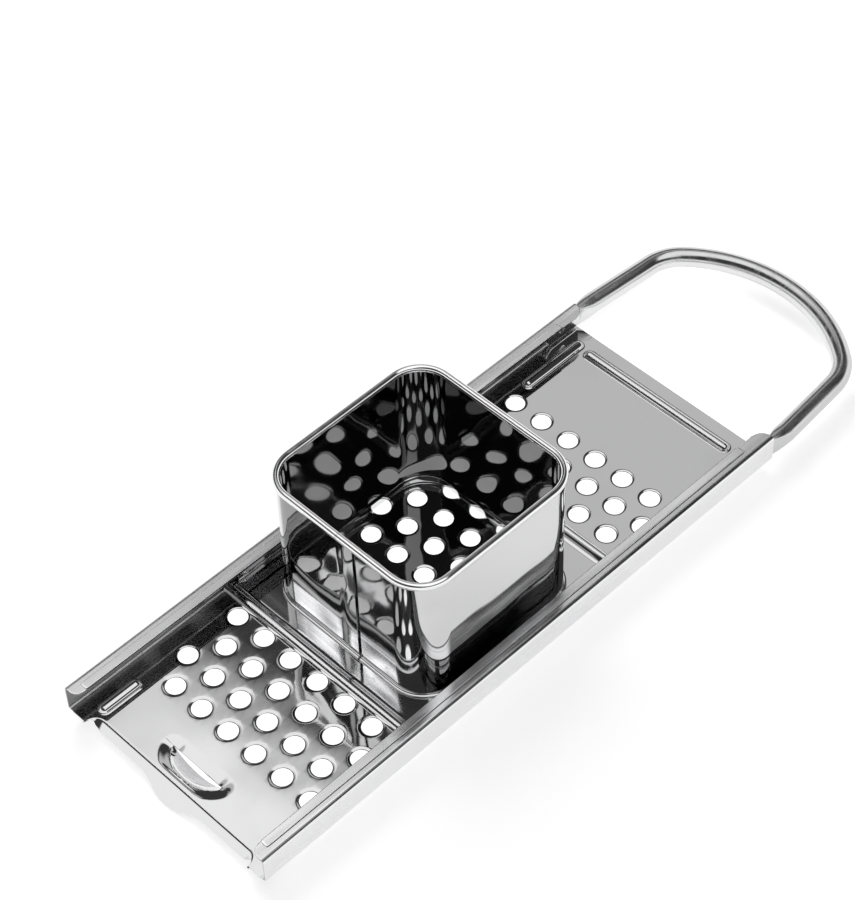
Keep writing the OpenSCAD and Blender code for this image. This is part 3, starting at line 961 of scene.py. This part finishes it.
def ring_at(centre, heading, half_x, half_z, power, count=32):
    """A superellipse ring across a level heading."""
    across = Vector((heading[1], -heading[0], 0)).normalized()
    ring = []
    for i in range(count):
        t = 2 * math.pi * i / count
        c, s = math.cos(t), math.sin(t)
        u = math.copysign(abs(c) ** (2 / power), c) * half_x
        v = math.copysign(abs(s) ** (2 / power), s) * half_z
        p = Vector(centre) + across * u + Vector((0, 0, v))
        ring.append(tuple(p))
    return ring


def handle(plate, bar, material):
    """The bow: one tube, with its ends pressed flat inside the rails."""
    path, tongue_x, root_y = bow_path(bar)
    rear = RAIL_HIGH.y
    channel = plate.rail_height - plate.sheet
    tongue_z = plate_top() + channel / 2
    high = (channel - 2 * plate.bend) / 2
    flat, tube = bar.flat / 2, bar.tube / 2
    tip = rear - bar.tongue
    rows = []
    for s in TIP_STATIONS:
        end_high = math.sqrt(max(high ** 2 - (high - s) ** 2, 0.01))
        end_flat = flat * min(1.0, TIP_SHARE + s)
        rows.append(ring_at((tongue_x, tip + s, tongue_z), (0, 1), end_flat, end_high, FLAT_POWER))
    rows.append(ring_at((tongue_x, rear - FLAT_GAP, tongue_z), (0, 1), flat, high, FLAT_POWER))
    start = rear - NECK_LEAD
    for i in range(13):
        t = i / 12
        w = math.sin(math.pi / 2 * t)
        y = start + (root_y - start - NECK_GAP) * t
        rows.append(ring_at((tongue_x, y, tongue_z + bar.rise * w), (0, 1), flat + (tube - flat) * w,
                            high + (tube - high) * w, FLAT_POWER + (ROUND_POWER - FLAT_POWER) * w))
    for i, (x, y) in enumerate(path):
        before = path[max(i - 1, 0)]
        after = path[i + 1] if i + 1 < len(path) else (-path[i - 1][0], path[i - 1][1])
        heading = (after[0] - before[0], after[1] - before[1])
        rows.append(ring_at((x, y, tongue_z + bar.rise), heading, tube, tube, ROUND_POWER))
    mirrored = [[(-x, y, z) for x, y, z in row] for row in rows[-2::-1]]
    bow = Surface()
    bow.tube(rows + mirrored)
    piece = bow.make("bow_handle")
    return finish_piece(piece, material, "plate", "handle_steel", "handle_bow", crease=50)


# a spot weld's ring, as radius and height above the flattened end
WELD_RING = ((2.0, 0.0), (1.85, 0.16), (1.55, 0.28), (1.2, 0.22), (0.7, 0.12), (0.05, 0.1))


def weld_mark(side, material):
    """A spot weld's shallow ring on the flattened end."""
    x0 = WELD_HIGH.x
    y0 = (WELD_LOW.y + WELD_HIGH.y) / 2
    z0 = (WELD_LOW.z + WELD_HIGH.z) / 2
    turns = [2 * math.pi * i / 28 for i in range(28)]
    mark = Surface()
    mark.tube([[(side * (x0 - rise), y0 + radius * math.cos(t), z0 + radius * math.sin(t)) for t in turns]
               for radius, rise in WELD_RING])
    piece = mark.make(side_name(side) + "_weld_mark")
    return finish_piece(piece, material, "plate", "handle_steel", side_name(side) + "_spot_weld")


class SPAETZLE_OT_handle(bpy.types.Operator):
    """Builds the bow handle and its two spot welds"""
    bl_idname = "spaetzle.handle"
    bl_label = "Handle"

    def execute(self, context):
        plate = plate_settings()
        # tone 0.92 paints the handle's steel a little darker: painted shade on its reflections
        handle(plate, handle_settings(), polished_steel(
            "handle_steel", (1.0, 0.08, 1.0), waves=0.00001, smear=0.6, brushed=0.3, tone=0.92))
        mark = weld_steel("weld_steel")
        for side in (-1, 1):
            weld_mark(side, mark)
        return {"FINISHED"}


# ---------------------------------------------------------------- carriage

def round_sides(half_x, half_y, radius, corner):
    """A rounded rectangle from the right end of its front, round its back, to its front's left end."""
    run_x, run_y = half_x - radius, half_y - radius
    steps = [i / 6 - 1 for i in range(1, 12)]
    points = arc(run_x, -run_y, radius, -90, 0, corner)
    points += [(half_x, run_y * t) for t in steps]
    points += arc(run_x, run_y, radius, 0, 90, corner)
    points += [(-run_x * t, half_y) for t in steps]
    points += arc(-run_x, run_y, radius, 90, 180, corner)
    points += [(-half_x, -run_y * t) for t in steps]
    return points + arc(-run_x, -run_y, radius, 180, 270, corner)


def rounded_loop(half_x, half_y, radius, middle_y, z, corner=12):
    """A rounded rectangle, counter-clockwise from the middle of its front."""
    run_x = half_x - radius
    right = [(run_x * i / 6, -half_y) for i in range(6)]
    left = [(run_x * (i / 6 - 1), -half_y) for i in range(1, 6)]
    points = right + round_sides(half_x, half_y, radius, corner) + left
    return [(x, middle_y + y, z) for x, y in points]


HOPPER_FOOT = 1.3      # reach of the hopper's outturned foot
COLLAR_INSET = 0.85    # from the hopper's outer face to the inside of the carriage's collar
GUIDE_BEND = 0.8       # inside radius at the foot of a side guide
GUIDE_STRIP = 0.6      # flat strip of deck beside a side guide
ROLL_STRIP = 0.8       # flat strip of deck beside a rolled edge
ROLL_RISE = 45         # slope in degrees at which the sweep meets the roll
# the collar round the opening, as distance out from its wall and height above the deck
COLLAR_RISE = ((0.9, 0.0), (0.5, 0.0), (0.25, 0.02), (0.06, 0.12), (0.0, 0.35), (0.0, 1.5), (0.0, 3.4))


def roll_path(carriage, sheet):
    """Top face of a rolled edge, as distance out from the flat deck and height above it."""
    inner = sheet / 2
    sweep_z = inner + carriage.sweep
    reach = (carriage.sweep + carriage.roll) * math.sin(math.radians(ROLL_RISE))
    drop = (carriage.sweep + carriage.roll) * math.cos(math.radians(ROLL_RISE))
    path = arc(0, sweep_z, carriage.sweep - inner, -90, -90 + ROLL_RISE, 8)
    path += arc(reach, sweep_z - drop, carriage.roll + inner, 90 + ROLL_RISE, 0, 16)[1:]
    return [(a, z - sheet) for a, z in path]


def carriage_plate(plate, carriage, material):
    """The sliding plate: deck, rolled ends, side guides and the collar round its opening."""
    sheet = plate.sheet
    deck = CARRIAGE_LOW.z + sheet
    half = CARRIAGE_HIGH.x
    y_low, y_high = CARRIAGE_LOW.y, CARRIAGE_HIGH.y
    path = roll_path(carriage, sheet)
    reach = path[-1][0]
    front, rear = y_low + reach, y_high - reach
    guide_x = half - sheet - GUIDE_BEND
    guide_rise = CARRIAGE_HIGH.z - deck - GUIDE_BEND
    made = Surface()
    flat_x = guide_x - GUIDE_STRIP
    xs = [-half, -guide_x] + [-flat_x + 2 * flat_x * i / 12 for i in range(13)] + [guide_x, half]
    for y0, out in ((front, -1), (rear, 1)):
        rows = [[(x, y0 - out * ROLL_STRIP, deck) for x in xs]]
        rows += [[(x, y0 + out * a, deck + z) for x in xs] for a, z in path]
        made.grid(rows)
    inside_front, inside_rear = front + ROLL_STRIP, rear - ROLL_STRIP
    ys = [inside_front + (inside_rear - inside_front) * i / 10 for i in range(11)]
    section = [(flat_x, 0.0), (guide_x, 0.0)]
    section += arc(guide_x, GUIDE_BEND, GUIDE_BEND, -90, 0, 6)[1:]
    section += [(half - sheet, GUIDE_BEND + guide_rise * i / 3) for i in range(1, 4)]
    for side in (-1, 1):
        made.grid([[(side * x, y, deck + z) for y in ys] for x, z in section])
    hole_x = HOPPER_HIGH.x - HOPPER_FOOT - COLLAR_INSET
    hole_y = (HOPPER_HIGH.y - HOPPER_LOW.y) / 2 - HOPPER_FOOT - COLLAR_INSET
    middle = (HOPPER_LOW.y + HOPPER_HIGH.y) / 2
    radius = carriage.corner - COLLAR_INSET
    collar = []
    for out, z in COLLAR_RISE:
        collar.append(rounded_loop(hole_x + out, hole_y + out, radius + out, middle, deck + z))
    made.grid(collar, closed=True)
    made.weld()
    inside = (flat_x + 0.01) * MM
    made.fill([e for e in made.open_edges(deck) if max(abs(v.co.x) for v in e.verts) < inside])
    made.turn_out((0, 0, 1))
    piece = made.make("carriage_deck")
    thicken(piece, sheet)
    return finish_piece(piece, material, "hopper_carriage", "carriage_steel", "carriage_plate")


# ---------------------------------------------------------------- hopper

SEAM_LAP = 9.5         # width of the lap beside the seam
SEAM_LAP_RISE = 0.38
SEAM_LAP_SOFT = 5.0    # width over which the lap rises
SEAM_DEPTH = 0.42
SEAM_WIDTH = 0.95      # of the open line
SEAM_EDGE = 0.35       # width of the open line's soft side
SEAM_BEFORE = 0.12     # the open line's sharp side reaches from here
SEAM_AFTER = 0.1       # to here
# where the front wall has its points about the seam
SEAM_STATIONS = (-SEAM_LAP, -8, -6.5, -5.2, -3, -1, -0.4, -SEAM_BEFORE, 0, SEAM_AFTER, 0.4, SEAM_WIDTH,
                 1.1, SEAM_WIDTH + SEAM_EDGE, 2.0)
# the foot's rounded edge, as distance in from its reach and height above its underside
FOOT_EDGE = ((0.0, 0.02), (0.0, 0.35), (0.12, 0.62), (0.4, 0.78))
FOOT_FILLET = 1.1      # radius between the foot and the wall
WALL_START = (2.4, 4.0)   # heights of the wall's first two levels above the foot's underside
HOPPER_PAINTED_SHADE = 0.22      # painted shade: the inside of the hopper and its seam's open line are painted dark
SEAM_SHADE_SPAN = (-0.05, 1.0)   # where that painted shade starts and ends across the seam
FRONT_PAINTED_SHADE = 0.6      # painted shade: darkening of the front wall towards its top
SHADE_START = 12.0     # height above the foot's underside where it begins
SHADE_GROWTH = 10.0    # height over which it grows
RIM_GAP = 0.12         # half the gap between the rim bead's two ends


def seam_offset(x, seam):
    """How far the front wall's outer face stands out at x: a soft lap ending at an open line."""
    raised = SEAM_LAP_RISE * ease((x - seam + SEAM_LAP) / SEAM_LAP_SOFT)
    if x < seam - SEAM_BEFORE:
        return raised
    if x < seam + SEAM_AFTER:
        share = (x - seam + SEAM_BEFORE) / (SEAM_BEFORE + SEAM_AFTER)
        return raised - (SEAM_DEPTH + raised) * share
    return SEAM_DEPTH * (ease((x - seam - SEAM_WIDTH) / SEAM_EDGE) - 1.0)


def front_xs(half, radius, seam):
    """Stations along the front wall, close together at the seam."""
    run = half - radius
    near = [seam + s for s in SEAM_STATIONS]
    wide = [-run + 2 * run * i / 12 for i in range(13)]
    far = [x for x in wide if x < near[0] - 1 or x > near[-1] + 1]
    return sorted(far + near)


def wall_loop(inset, z, half_x, half_y, radius, middle, seam, lap=True):
    """One level of the hopper's wall, inset from its outer face."""
    points = []
    for x in front_xs(half_x, radius, seam):
        out = seam_offset(x, seam) if lap else 0.0
        points.append((x, inset - half_y - out))
    points += round_sides(half_x - inset, half_y - inset, radius - inset, 14)[1:-1]
    return [(x, middle + y, z) for x, y in points]


def hopper(plate, carriage, material):
    """The hopper's wall, a closed shell from its small outturned foot to its top."""
    wall = plate.sheet
    half_x = HOPPER_HIGH.x - HOPPER_FOOT
    half_y = (HOPPER_HIGH.y - HOPPER_LOW.y) / 2 - HOPPER_FOOT
    middle = (HOPPER_LOW.y + HOPPER_HIGH.y) / 2
    low, high = HOPPER_LOW.z, HOPPER_HIGH.z
    sizes = (half_x, half_y, carriage.corner, middle, carriage.seam)
    base = low + FOOT_EDGE[0][1]
    rows = [wall_loop(x - HOPPER_FOOT, low + z, *sizes, lap=False) for x, z in FOOT_EDGE]
    for x, z in arc(FOOT_FILLET, wall + FOOT_FILLET, FOOT_FILLET, -90, -180, 5):
        rows.append(wall_loop(-x, low + z, *sizes, lap=False))
    start = low + WALL_START[-1]
    levels = [low + z for z in WALL_START] + [start + (high - start) * i / 10 for i in range(1, 11)]
    rows += [wall_loop(0.0, z, *sizes) for z in levels]
    rows += [wall_loop(wall, z, *sizes, lap=False) for z in levels[::-1] + [base]]
    shell = Surface()
    shell.grid(rows, closed=True, looped=True)
    shell.turn_out()
    piece = shell.make("hopper_shell")
    first_inner = len(rows[0]) * (len(rows) - len(levels) - 1)
    front_limit = middle - half_y + wall

    # Painted shade: the hopper's inside and the seam's open line dark, the front wall darker towards its
    # top.
    def tone(i, co):
        on_front = co.y < front_limit
        on_seam = SEAM_SHADE_SPAN[0] < co.x - carriage.seam < SEAM_SHADE_SPAN[1]
        if i >= first_inner or (on_front and on_seam):
            return HOPPER_PAINTED_SHADE
        shade = FRONT_PAINTED_SHADE * ease((co.z - low - SHADE_START) / SHADE_GROWTH)
        return 1.0 - shade if on_front else 1.0

    paint_light_and_shade(piece, tone)
    return finish_piece(piece, material, "hopper_carriage", "hopper_steel", "hopper_wall", crease=40)


def bead_tree():
    """Sweeps a round bead along a path."""
    tree, inputs = geometry_tree("rim_bead", Radius="Float", Facets="Int", Steel="Material")
    curve = node(tree, "GeometryNodeMeshToCurve", {}, inputs["Geometry"])
    circle = node(tree, "GeometryNodeCurvePrimitiveCircle", {}, Resolution=inputs["Facets"],
                  Radius=inputs["Radius"])
    sweep = node(tree, "GeometryNodeCurveToMesh", {}, Curve=curve, Profile_Curve=circle, Fill_Caps=True)
    return close_tree(tree, sweep, inputs["Steel"])


def rim_bead(plate, carriage, material):
    """The round bead along the hopper's mouth, its two ends butted in the middle of the front."""
    radius = (RIM_HIGH.z - RIM_LOW.z) / 2
    level = RIM_HIGH.z - radius
    half_x = RIM_HIGH.x - radius
    half_y = (RIM_HIGH.y - RIM_LOW.y) / 2 - radius
    middle = (RIM_LOW.y + RIM_HIGH.y) / 2
    loop = rounded_loop(half_x, half_y, carriage.corner - plate.sheet / 2, middle, level, corner=20)
    loop[0] = (RIM_GAP, *loop[0][1:])
    line = Surface()
    line.line(loop + [(-RIM_GAP, *loop[0][1:])], closed=False)
    piece = line.make("rim_bead_ring")
    modifier = piece.modifiers.new("bead", "NODES")
    modifier.node_group = bead_tree()
    set_inputs(modifier, Radius=radius * MM, Facets=24, Steel=material)
    flatten(piece)
    return finish_piece(piece, material, "hopper_carriage", "hopper_steel", "rim_bead", crease=50)


class SPAETZLE_OT_carriage(bpy.types.Operator):
    """Builds the carriage that slides along the rails"""
    bl_idname = "spaetzle.carriage"
    bl_label = "Carriage"

    def execute(self, context):
        steel = polished_steel("carriage_steel", (0.05, 1.0, 1.0), waves=0.00003, brushed=0.08,
                               brushed_to=HOPPER_LOW.y * MM)
        carriage_plate(plate_settings(), carriage_settings(), steel)
        return {"FINISHED"}


class SPAETZLE_OT_hopper(bpy.types.Operator):
    """Builds the hopper's wall and its rim bead"""
    bl_idname = "spaetzle.hopper"
    bl_label = "Hopper"

    def execute(self, context):
        plate, carriage = plate_settings(), carriage_settings()
        hopper(plate, carriage, polished_steel(
            "hopper_steel", (1.0, 1.0, 0.05), waves=0.0005, toned=True))
        # tone 1.3 paints the rim bead's steel brighter: painted highlight
        rim_bead(plate, carriage, polished_steel(
            "rim_steel", (1.0, 1.0, 1.0), waves=0.00001, smear=0.5, brushed=0.12, tone=1.3))
        return {"FINISHED"}


# ---------------------------------------------------------------- stage

def direction(azimuth, elevation):
    """A unit vector; azimuth is counter-clockwise from +X."""
    a, e = math.radians(azimuth), math.radians(elevation)
    return (math.cos(a) * math.cos(e), math.sin(a) * math.cos(e), math.sin(e))


# The studio's light, by the direction in which it is seen. Each pair is where a fade starts and ends:
# for OVERHEAD and HORIZON in the direction's Z, for front and rear edges in its Y over its Z, and for
# left and right edges in its X over its Z.
OVERHEAD = (0.70, 0.76)
CEILING_REAR = (0.468, 0.395)
CEILING_FRONT = (-0.42, -0.36)
CEILING_LEFT = (-0.70, -0.56)
CEILING_DIM = 0.55     # share of the ceiling's light left of that edge
CEILING_GAIN = 0.5     # what the share gains right of it
CEILING_LIGHT = 1.1
HORIZON = (0.45, 0.28)
HORIZON_LIGHT = 1.15
PANEL_DIRECTION = direction(130.5, 48)
PANEL_EDGE = (0.9903, 0.9969)   # cosine of the angle from the panel's middle
PANEL_LIGHT = 0.65
STRIP_REAR = (-0.466, -0.472)
STRIP_FRONT = (-0.516, -0.508)
STRIP_RIGHT = (-0.3, -0.4)
STRIP_LIGHT = 2.6
WALL_LIGHT = 0.05


def studio():
    """A bright ceiling, a strip light and a soft panel over dark walls and a pale horizon."""
    world = bpy.data.worlds.new("studio")
    bpy.context.scene.world = world
    world.use_nodes = True
    tree = world.node_tree
    look = node(tree, "ShaderNodeTexCoord", {}, output="Generated")
    height = look.part("Z")
    across = look.part("X").math("DIVIDE", height)
    along = look.part("Y").math("DIVIDE", height)
    overhead = height.smooth(*OVERHEAD)
    ceiling = overhead * along.smooth(*CEILING_REAR) * along.smooth(*CEILING_FRONT)
    ceiling = ceiling * (across.smooth(*CEILING_LEFT) * CEILING_GAIN + CEILING_DIM)
    facing = node(tree, "ShaderNodeVectorMath", {"operation": "DOT_PRODUCT"}, look, PANEL_DIRECTION,
                  output="Value")
    strip = overhead * along.smooth(*STRIP_REAR) * along.smooth(*STRIP_FRONT) * across.smooth(*STRIP_RIGHT)
    light = ceiling * CEILING_LIGHT + height.smooth(*HORIZON) * HORIZON_LIGHT
    light = light + facing.smooth(*PANEL_EDGE) * PANEL_LIGHT + strip * STRIP_LIGHT + WALL_LIGHT
    set_sockets(tree, tree.nodes["Background"], {"Color": (1.0, 1.0, 1.0, 1.0), "Strength": light})


# name, place in metres, size in metres and watts of each soft light
LIGHTS = (("key", (-0.9, 0.35, 1.5), 0.9, 8.0), ("fill", (0.6, -0.9, 1.9), 1.2, 3.0))


def soft_light(name, place_at, size, power):
    """A round light that faces the origin and isn't seen in the steel."""
    lamp = bpy.data.lights.new(name, "AREA")
    lamp.shape = "DISK"
    lamp.size = size
    lamp.energy = power
    made = bpy.data.objects.new(name, lamp)
    made.visible_glossy = False
    made.location = place_at
    made.rotation_euler = (-Vector(place_at)).to_track_quat("-Z", "Y").to_euler()
    bpy.context.scene.collection.objects.link(made)


FLOOR_REACH = 6000.0   # from the middle to each side
FLOOR_STEPS = 12
FLOOR_GLOW = (0.56, 0.56, 0.56, 1.0)
# painted light: a brighter glow under the plate and inside the handle, where their shadows fall
PAINTED_POOL_GLOW = (0.9, 0.9, 0.9, 1.0)
POOL_SHARE = 0.8       # of the plate's width that the pool fills in full
POOL_FADE = 20.0       # length over which the pool ends before the part's ends


def floor():
    """A wide pale floor with a painted pool of brighter glow under the plate and inside the handle, which
    lightens their shadows.
    """
    finish = finish_settings()
    ground = Surface()
    level = CAD_BOX[0].z / MM
    axis = [FLOOR_REACH * (2 * i / FLOOR_STEPS - 1) for i in range(FLOOR_STEPS + 1)]
    ground.grid([[(x, y, level) for x in axis] for y in axis])
    ground.turn_out((0, 0, 1))
    piece = ground.make("studio_floor")
    material, tree, surface = new_material("floor_paper")
    place = object_coordinates(tree)
    middle = (RAIL_LOW.y + HANDLE_HIGH.y) / 2
    reach = (HANDLE_HIGH.y - RAIL_LOW.y) / 2
    across = place.part("X").math("ABSOLUTE")
    along = (place.part("Y") - middle * MM).math("ABSOLUTE")
    painted_pool = across.smooth(RAIL_HIGH.x * MM, POOL_SHARE * RAIL_HIGH.x * MM) \
        * along.smooth(reach * MM, (reach - POOL_FADE) * MM)
    grain = noise(tree, place, 260.0, 3.0)
    set_sockets(tree, surface, {
        "Base Color": mix_colour(tree, opaque(finish.floor, 0.985), opaque(finish.floor), grain),
        "Roughness": 0.9, "Specular IOR Level": 0.1,
        "Emission Color": mix_colour(tree, FLOOR_GLOW, PAINTED_POOL_GLOW, painted_pool), "Emission Strength": 1.0})
    piece.data.materials.append(material)


CAMERA_SIDE = 472.4    # from the plate's middle line to the camera
CAMERA_AHEAD = 304.9   # from the plate's front edge
CAMERA_HEIGHT = 812.1  # above the plate
CAMERA_TURN = (41.390, 1.329, 45.013)   # about X, Y and Z, in degrees
CAMERA_LENS = 105.63
CAMERA_SHIFT = -0.00714


def camera():
    """The photograph's viewpoint."""
    made = bpy.data.objects.new("camera", bpy.data.cameras.new("camera"))
    bpy.context.scene.collection.objects.link(made)
    made.location = Vector((CAMERA_SIDE, RAIL_LOW.y - CAMERA_AHEAD, plate_top() + CAMERA_HEIGHT)) * MM
    made.rotation_euler = [math.radians(a) for a in CAMERA_TURN]
    made.data.lens = CAMERA_LENS
    made.data.shift_x = CAMERA_SHIFT
    made.data.clip_start = 0.05
    made.data.clip_end = 30.0
    bpy.context.scene.camera = made


class SPAETZLE_OT_stage(bpy.types.Operator):
    """Sets up the floor, the soft lights and the camera"""
    bl_idname = "spaetzle.stage"
    bl_label = "Stage"

    def execute(self, context):
        studio()
        floor()
        for light in LIGHTS:
            soft_light(*light)
        camera()
        context.scene.view_settings.view_transform = "Standard"
        return {"FINISHED"}


# ---------------------------------------------------------------- panel

BUILDERS = (SPAETZLE_OT_stage, SPAETZLE_OT_plate, SPAETZLE_OT_handle, SPAETZLE_OT_carriage,
            SPAETZLE_OT_hopper)
GROUPS = {"spaetzle_plate": PlateSettings, "spaetzle_handle": HandleSettings,
          "spaetzle_carriage": CarriageSettings, "spaetzle_finish": FinishSettings}


class SPAETZLE_PT_panel(bpy.types.Panel):
    """Lists the settings and the pieces"""
    bl_label = "Spaetzle maker"
    bl_idname = "SPAETZLE_PT_panel"
    bl_space_type = "VIEW_3D"
    bl_region_type = "UI"
    bl_category = "Spaetzle"

    def draw(self, context):
        for name, group in GROUPS.items():
            box = self.layout.box()
            for key in group.__annotations__:
                box.prop(getattr(context.scene, name), key)
        for builder in BUILDERS:
            self.layout.operator(builder.bl_idname)


def register():
    for group in GROUPS.values():
        bpy.utils.register_class(group)
    for name, group in GROUPS.items():
        setattr(bpy.types.Scene, name, bpy.props.PointerProperty(type=group))
    for item in (*BUILDERS, SPAETZLE_PT_panel):
        bpy.utils.register_class(item)


def unregister():
    for item in (*BUILDERS, SPAETZLE_PT_panel):
        bpy.utils.unregister_class(item)
    for name, group in GROUPS.items():
        delattr(bpy.types.Scene, name)
        bpy.utils.unregister_class(group)


def main():
    register()
    bpy.ops.spaetzle.stage()
    bpy.ops.spaetzle.plate()
    bpy.ops.spaetzle.handle()
    bpy.ops.spaetzle.carriage()
    bpy.ops.spaetzle.hopper()


if __name__ == "__main__":
    main()
